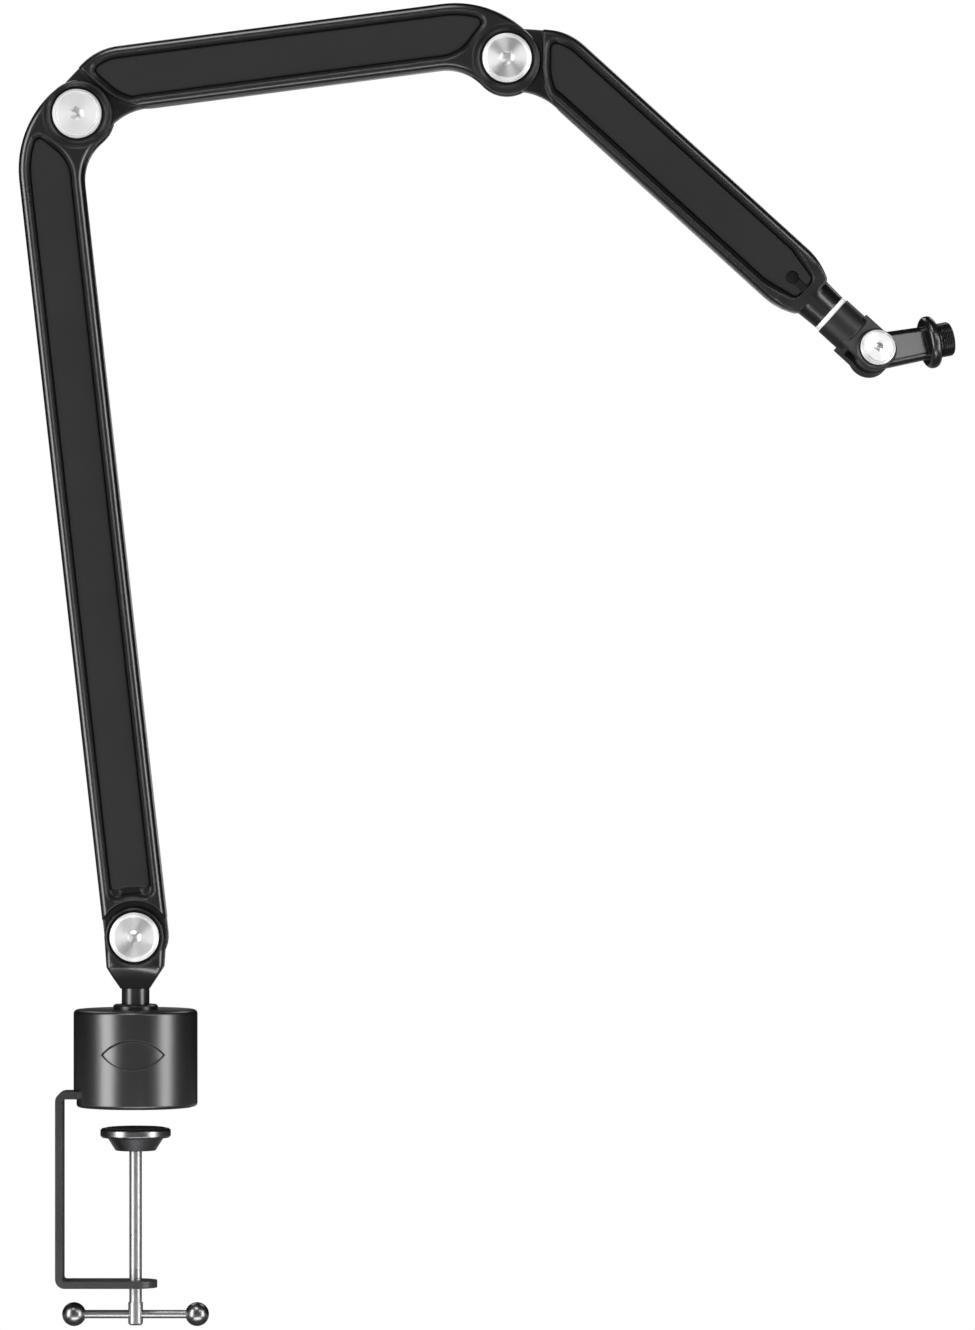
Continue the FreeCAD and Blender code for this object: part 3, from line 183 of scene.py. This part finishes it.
def makeMaterial(slot, joint=None, head=None):
    look = looks[slot]
    dull = head["dull"] if head else 0.0
    glossLow, glossHigh = look["roughness"]
    grainSize, grainHeight = look["grain"]
    material = bpy.data.materials.new(look["title"])
    tree = emptyTree(material)
    place = addNode(tree, "ShaderNodeTexCoord")
    fine = addNode(tree, "ShaderNodeTexNoise", {
        "Vector": place.outputs["Object"], "Scale": 1 / (grainSize * mm),
        "Detail": surfaceDrift["grainDetail"],
    })
    drift = addNode(tree, "ShaderNodeTexNoise", {
        "Vector": place.outputs["Object"], "Scale": 1 / (surfaceDrift["size"] * mm),
        "Detail": surfaceDrift["detail"],
    })
    tone = addNode(tree, "ShaderNodeMix", {
        "Factor": drift.outputs["Fac"], "A": srgb(look["tones"][0]), "B": srgb(look["tones"][1]),
    }, data_type="RGBA")
    gloss = addNode(tree, "ShaderNodeMapRange", {
        "Value": drift.outputs["Fac"],
        "From Min": surfaceDrift["low"], "From Max": surfaceDrift["high"],
        "To Min": glossLow + dull, "To Max": glossHigh + dull,
    })
    relief = addNode(tree, "ShaderNodeBump", {
        "Height": fine.outputs["Fac"], "Distance": grainHeight * mm, "Strength": 1.0,
    })
    if "edge" in look:
        rounding = addNode(tree, "ShaderNodeBevel", {
            "Radius": look["edge"] * mm,
        }, samples=surfaceDrift["edgeSamples"])
        tree.links.new(rounding.outputs["Normal"], relief.inputs["Normal"])
    shader = addNode(tree, "ShaderNodeBsdfPrincipled", {
        "Base Color": tone.outputs["Result"], "Roughness": gloss.outputs["Result"],
        "Normal": relief.outputs["Normal"], "Metallic": look.get("metallic", 0.0),
        "Coat Weight": look.get("coat", 0.0), "Coat Roughness": look.get("coatRoughness", 0.1),
        "Specular IOR Level": look.get("specular", 0.5),
    })
    if joint:
        # The lathe's rings run round the bolt, so light spreads outward across them.
        outward = addNode(tree, "ShaderNodeVectorMath", {
            0: place.outputs["Object"], 1: joint["pos_m"],
        }, operation="SUBTRACT")
        tree.links.new(outward.outputs["Vector"], shader.inputs["Tangent"])
        shader.inputs["Anisotropic"].default_value = head["fan"]
        sideways = addNode(tree, "ShaderNodeVectorMath", {
            0: outward.outputs["Vector"], 1: joint["axis"],
        }, operation="CROSS_PRODUCT")
        radius = addNode(tree, "ShaderNodeVectorMath", {
            0: sideways.outputs["Vector"],
        }, operation="LENGTH")
        turns = addNode(tree, "ShaderNodeMath", {
            0: radius.outputs["Value"], 1: 2 * math.pi / (look["ringSpacing"] * mm),
        }, operation="MULTIPLY")
        wave = addNode(tree, "ShaderNodeMath", {0: turns.outputs[0]}, operation="SINE")
        ringRelief = addNode(tree, "ShaderNodeBump", {
            "Height": wave.outputs[0], "Distance": look["ringHeight"] * head["ringShare"] * mm,
            "Normal": relief.outputs["Normal"],
        })
        tree.links.new(ringRelief.outputs["Normal"], shader.inputs["Normal"])
        # Outside the groove the rim is satin, and its base colour is raised to near white there: a painted
        # highlight.
        rim = addNode(tree, "ShaderNodeMapRange", {
            "Value": radius.outputs["Value"],
            "From Min": (head["groove"] - look["rimBlend"]) * mm, "From Max": head["groove"] * mm,
        })
        rimTone = addNode(tree, "ShaderNodeMix", {
            "Factor": rim.outputs["Result"], "A": tone.outputs["Result"], "B": srgb(head["rim"]),
        }, data_type="RGBA")
        tree.links.new(rimTone.outputs["Result"], shader.inputs["Base Color"])
        satin = addNode(tree, "ShaderNodeMix", {
            "Factor": rim.outputs["Result"],
            "A": gloss.outputs["Result"], "B": look["rimRoughness"],
        })
        tree.links.new(satin.outputs["Result"], shader.inputs["Roughness"])
    addNode(tree, "ShaderNodeOutputMaterial", {"Surface": shader.outputs["BSDF"]})
    return material


materials = {slot: makeMaterial(slot) for slot in looks}

# Turned bolt heads, by the joint that each one holds: the radius in mm of the groove
# round its head, how strongly its face fans light out, its share of the rings'
# height, how much duller it is than the finish, and the tone of the painted highlight
# on its rim. Each has its own copy of the finish, ringed round its own joint.
boltHeads = {
    "shoulder": dict(
        bolt="shoulder_bolt", groove=9.4, fan=0.8, ringShare=1.0, dull=0.0, rim="#f8f8f8"),
    "lower_elbow": dict(
        bolt="lower_elbow_bolt", groove=9.4, fan=0.3, ringShare=0.5, dull=0.13, rim="#d6d6d6"),
    "upper_elbow": dict(
        bolt="upper_elbow_bolt", groove=9.4, fan=0.8, ringShare=1.0, dull=0.0, rim="#f8f8f8"),
    "mic_tilt": dict(
        bolt="tilt_bolt", groove=6.9, fan=0.8, ringShare=0.3, dull=0.0, rim="#e8e8e8"),
}
for joint in frame["joints"]:
    if joint["name"] in boltHeads:
        head = boltHeads[joint["name"]]
        materials[head["bolt"]] = makeMaterial(slotOf[head["bolt"]], joint, head)
print("materials made:", len(materials))

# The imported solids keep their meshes. Weld and edge split only make the round
# faces shade smoothly and keep the machined edges crisp.
shading = dict(weld=0.002 * mm, crispAngle=math.radians(28))


def shadeSmooth(mesh):
    mesh.polygons.foreach_set("use_smooth", [True] * len(mesh.polygons))


def keepCrisp(piece):
    piece.modifiers.new("Crisp edges", "EDGE_SPLIT").split_angle = shading["crispAngle"]


for name, node in nodes.items():
    node.data.materials.clear()
    node.data.materials.append(materials.get(name) or materials[slotOf[name]])
    shadeSmooth(node.data)
    node.modifiers.new("Weld", "WELD").merge_threshold = shading["weld"]
    keepCrisp(node)
print("solids dressed")

# Microphone thread, 27 turns to the inch, cut on the adapter's own blank. Weld and
# slack are distances for joining points and for finding the two end rims.
thread = dict(
    pitch=25.4 / 27 * mm, depth=0.577 * mm, neck=7.1 * mm, neckLength=1.0 * mm, lead=0.6 * mm,
    segments=96, rows=8, weld=0.001 * mm, slack=0.01 * mm,
)
mount = next(m for m in frame["record"]["mounts"] if m["name"] == "mic_thread")
mountPlace = Vector(mount["pos_m"])
mountAxis = Vector(mount["axis"]).normalized()
mountSide = mountAxis.cross(Vector((0, 0, 1))).normalized()
mountUp = mountAxis.cross(mountSide)
blank = [v.co - mountPlace for v in nodes["thread_adapter"].data.vertices]
heights = [p.dot(mountAxis) for p in blank]
radii = [(p - mountAxis * height).length for p, height in zip(blank, heights)]
start, end, bore, crest = min(heights), max(heights), min(radii), max(radii)


def threadPoint(turn, row):
    # Rows climb with the helix, so the crest is one clean line.
    climbed = start + thread["pitch"] * (row / thread["rows"] - 1 + turn / thread["segments"])
    height = min(max(climbed, start), end)
    phase = (row % thread["rows"]) / thread["rows"]
    radius = crest - thread["depth"] * abs(2 * phase - 1)
    if height < start + thread["neckLength"]:
        radius = min(radius, thread["neck"])
    radius = min(radius, crest - thread["lead"] + (end - height))
    angle = 2 * math.pi * turn / thread["segments"]
    outward = mountSide * math.cos(angle) + mountUp * math.sin(angle)
    return mountPlace + mountAxis * height + outward * radius


shape = bmesh.new()
rowCount = math.ceil((end - start) / thread["pitch"] + 2) * thread["rows"]
grid = [
    [shape.verts.new(threadPoint(turn, row)) for row in range(rowCount + 1)]
    for turn in range(thread["segments"])
]
for turn in range(thread["segments"]):
    after = (turn + 1) % thread["segments"]
    climb = thread["rows"] if after == 0 else 0
    for row in range(rowCount - climb):
        shape.faces.new((
            grid[turn][row], grid[after][row + climb],
            grid[after][row + climb + 1], grid[turn][row + 1],
        ))
bmesh.ops.remove_doubles(shape, verts=shape.verts, dist=thread["weld"])
# Both ends close to the bore, and a wall joins them through it.
boreRims = []
for level in (start, end):
    middle = mountPlace + mountAxis * level
    endRim = [
        edge for edge in shape.edges if edge.is_boundary
        and all(abs((v.co - middle).dot(mountAxis)) < thread["slack"] for v in edge.verts)
    ]
    grown = bmesh.ops.extrude_edge_only(shape, edges=endRim)["geom"]
    for vert in (g for g in grown if isinstance(g, bmesh.types.BMVert)):
        vert.co = middle + (vert.co - middle).normalized() * bore
    boreRims += [g for g in grown if isinstance(g, bmesh.types.BMEdge) and g.is_boundary]
bmesh.ops.bridge_loops(shape, edges=boreRims)
bmesh.ops.recalc_face_normals(shape, faces=shape.faces)
openEdges = sum(edge.is_boundary for edge in shape.edges)
threadMesh = bpy.data.meshes.new("mic_thread")
shape.to_mesh(threadMesh)
shape.free()
threadMesh.materials.append(materials[slotOf["thread_adapter"]])
shadeSmooth(threadMesh)
micThread = bpy.data.objects.new("mic_thread", threadMesh)
scene.collection.objects.link(micThread)
keepCrisp(micThread)
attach(micThread, "mic_mount")
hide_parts("thread_adapter")
print("thread cut:", len(threadMesh.polygons), "faces,", openEdges, "open edges")

# Floor below the clamp, ending just short of the photograph's view. The camera sees
# paper that fades into the white surround. Mirrors see it pale, and paler further
# out, so that the flat backs of the arms can be read. All other rays meet a mid
# grey, so that it throws little light up at the part.
floorPlan = dict(
    height=-0.7, radius=6.2, sides=128, middle=(0.16, 0), paper="#f2f2f2", shade="#4a4a4a",
    fade=0.35, fadeReach=1.2, mirrored=(0.12, 0.32), mirroredReach=(1.0, 2.5),
)
white = srgb("#ffffff")
bpy.ops.mesh.primitive_circle_add(
    vertices=floorPlan["sides"], radius=floorPlan["radius"], fill_type="NGON",
    location=(*floorPlan["middle"], floorPlan["height"]),
)
floor = bpy.context.object
floor.name = "Floor"
floorMaterial = bpy.data.materials.new("Paper, matt, studio white")
floorTree = emptyTree(floorMaterial)
floorPlace = addNode(floorTree, "ShaderNodeTexCoord")
fromMiddle = addNode(floorTree, "ShaderNodeVectorMath", {
    0: floorPlace.outputs["Object"],
}, operation="LENGTH")
fade = addNode(floorTree, "ShaderNodeMapRange", {
    "Value": fromMiddle.outputs["Value"], "From Min": 0.0, "From Max": floorPlan["fadeReach"],
    "To Min": floorPlan["fade"], "To Max": 1.0,
}, interpolation_type="SMOOTHSTEP")
floorRay = addNode(floorTree, "ShaderNodeLightPath")
fadeSeen = addNode(floorTree, "ShaderNodeMath", {
    0: fade.outputs["Result"], 1: floorRay.outputs["Is Camera Ray"],
}, operation="MULTIPLY")
paperTone = addNode(floorTree, "ShaderNodeMix", {
    "Factor": floorRay.outputs["Is Camera Ray"],
    "A": srgb(floorPlan["shade"]), "B": srgb(floorPlan["paper"]),
}, data_type="RGBA")
paper = addNode(floorTree, "ShaderNodeBsdfDiffuse", {"Color": paperTone.outputs["Result"]})
glow = addNode(floorTree, "ShaderNodeEmission", {"Color": white, "Strength": 1.0})
fadedPaper = addNode(floorTree, "ShaderNodeMixShader", {
    "Fac": fadeSeen.outputs[0], 1: paper.outputs[0], 2: glow.outputs[0],
})
mirrorLevel = addNode(floorTree, "ShaderNodeMapRange", {
    "Value": fromMiddle.outputs["Value"],
    "From Min": floorPlan["mirroredReach"][0], "From Max": floorPlan["mirroredReach"][1],
    "To Min": floorPlan["mirrored"][0], "To Max": floorPlan["mirrored"][1],
})
mirrorPaper = addNode(floorTree, "ShaderNodeEmission", {
    "Color": white, "Strength": mirrorLevel.outputs["Result"],
})
floorFace = addNode(floorTree, "ShaderNodeMixShader", {
    "Fac": floorRay.outputs["Is Glossy Ray"], 1: fadedPaper.outputs[0], 2: mirrorPaper.outputs[0],
})
addNode(floorTree, "ShaderNodeOutputMaterial", {"Surface": floorFace.outputs[0]})
floor.data.materials.append(floorMaterial)

# Surround: white to the camera and through anything clear. Mirrors see a dim studio
# with one white panel behind the part, 4 degrees to each side, which keeps the
# outlines black, as the photograph has them.
surround = dict(dim=0.006, white=1.0, panelAngle=math.radians(4), panelSide=(0, 1, 0))
world = bpy.data.worlds.new("Studio")
scene.world = world
worldTree = emptyTree(world)
worldRay = addNode(worldTree, "ShaderNodeLightPath")
worldPlace = addNode(worldTree, "ShaderNodeTexCoord")
towardPanel = addNode(worldTree, "ShaderNodeVectorMath", {
    0: worldPlace.outputs["Generated"], 1: surround["panelSide"],
}, operation="DOT_PRODUCT")
onPanel = addNode(worldTree, "ShaderNodeMath", {
    0: towardPanel.outputs["Value"], 1: math.cos(surround["panelAngle"]),
}, operation="GREATER_THAN")
panelMirrored = addNode(worldTree, "ShaderNodeMath", {
    0: worldRay.outputs["Is Glossy Ray"], 1: onPanel.outputs[0],
}, operation="MULTIPLY")
seenStraight = addNode(worldTree, "ShaderNodeMath", {
    0: worldRay.outputs["Is Camera Ray"], 1: worldRay.outputs["Is Transmission Ray"],
}, operation="MAXIMUM")
seesWhite = addNode(worldTree, "ShaderNodeMath", {
    0: seenStraight.outputs[0], 1: panelMirrored.outputs[0],
}, operation="MAXIMUM")
dimStudio, whiteStudio = (
    addNode(worldTree, "ShaderNodeBackground", {"Color": white, "Strength": surround[level]})
    for level in ("dim", "white")
)
studio = addNode(worldTree, "ShaderNodeMixShader", {
    "Fac": seesWhite.outputs[0], 1: dimStudio.outputs[0], 2: whiteStudio.outputs[0],
})
addNode(worldTree, "ShaderNodeOutputWorld", {"Surface": studio.outputs[0]})

# Soft boxes round the part. Azimuth is from the camera's side, positive to the
# right, distance and size are in metres, and brightness is what a mirror would show.
softBoxes = {
    "Left strip": dict(azimuth=-55, elevation=3, distance=1.9, size=(0.82, 2.0), brightness=6.0),
    "Right strip": dict(azimuth=58, elevation=-3, distance=1.9, size=(0.78, 2.0), brightness=5.6),
    "Key": dict(azimuth=-20, elevation=56, distance=1.9, size=(0.7, 0.7), brightness=6.0),
    "Right card": dict(azimuth=30, elevation=27, distance=2.0, size=(0.6, 0.6), brightness=4.0),
    "Front card": dict(azimuth=0, elevation=0, distance=3.8, size=(2.4, 2.4), brightness=0.18),
    "Low card": dict(azimuth=0, elevation=-53, distance=1.05, size=(1.0, 0.3), brightness=5.5),
    "Back left": dict(azimuth=-150, elevation=40, distance=1.9, size=(0.7, 0.7), brightness=1.6),
    "Back right": dict(azimuth=150, elevation=40, distance=1.9, size=(0.7, 0.7), brightness=1.6),
}
lampAim = Vector((0.16, 0, 0.22))
wattsPerArea = 4  # an area lamp's watts for each square metre at a brightness of 1
for name, box in softBoxes.items():
    azimuth, elevation = math.radians(box["azimuth"]), math.radians(box["elevation"])
    toward = Vector((
        math.sin(azimuth) * math.cos(elevation), -math.cos(azimuth) * math.cos(elevation),
        math.sin(elevation),
    ))
    lampData = bpy.data.lights.new(name, "AREA")
    lampData.shape = "RECTANGLE"
    lampData.size, lampData.size_y = box["size"]
    lampData.energy = wattsPerArea * lampData.size * lampData.size_y * box["brightness"]
    lamp = bpy.data.objects.new(name, lampData)
    scene.collection.objects.link(lamp)
    lamp.location = lampAim + toward * box["distance"]
    lamp.rotation_euler = toward.to_track_quat("Z", "Y").to_euler()
print("studio lit")

# Camera where the photograph was taken from, level and square to the arm. Pixels
# are the photograph's, scale is metres for each of them at the arm, and origin is
# the pixel that the frame's origin falls on.
photo = dict(
    width=975, height=1330, scale=0.46 * mm, origin=(135.6, 1106.7), focal=7200, sensor=36,
)
cameraData = bpy.data.cameras.new("Camera")
cameraData.sensor_fit = "VERTICAL"
cameraData.sensor_height = photo["sensor"]
cameraData.lens = photo["focal"] / photo["height"] * photo["sensor"]
camera = bpy.data.objects.new("Camera", cameraData)
scene.collection.objects.link(camera)
camera.location = (
    (photo["width"] / 2 - photo["origin"][0]) * photo["scale"],
    -photo["focal"] * photo["scale"],
    (photo["origin"][1] - photo["height"] / 2) * photo["scale"],
)
camera.rotation_euler = (math.pi / 2, 0, 0)
scene.camera = camera
scene.view_settings.view_transform = "Standard"
print("camera placed")
